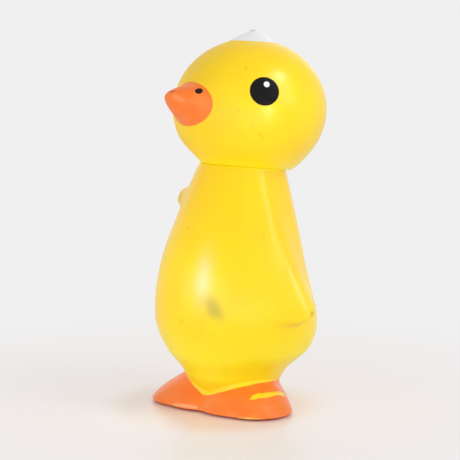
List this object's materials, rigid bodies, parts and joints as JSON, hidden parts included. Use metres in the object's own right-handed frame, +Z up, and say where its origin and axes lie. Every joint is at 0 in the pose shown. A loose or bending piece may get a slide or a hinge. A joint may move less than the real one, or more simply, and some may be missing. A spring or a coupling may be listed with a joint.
{
  "type": "vinyl chick figure",
  "caption": "Hollow soft-vinyl chick standing on a flat sole, with a round head that swivels on the neck and moulded beak, crown tip, folded wings and feet.",
  "frame": {"origin": "on the flat sole, on the ground, under the axis of the body", "axes": "+Z up; the body faces -Y and its left side is +X; the head is turned to its right at rest"},
  "size_m": [0.08, 0.0802, 0.1661],
  "materials": {
    "body_vinyl": "semi-gloss yellow soft vinyl, feet painted orange and worn",
    "head_vinyl": "semi-gloss yellow soft vinyl, beak painted orange, eyes black, crown tip white"
  },
  "bodies": {
    "body": {"body_shell": "body_vinyl"},
    "head": {"head_shell": "head_vinyl"}
  },
  "joints": [
    {"name": "neck_swivel", "type": "hinge", "parent": "body", "child": "head", "pos_m": [0, 0.0042, 0.10497], "axis": [0, 0.1253, 0.9921], "continuous": true}
  ]
}
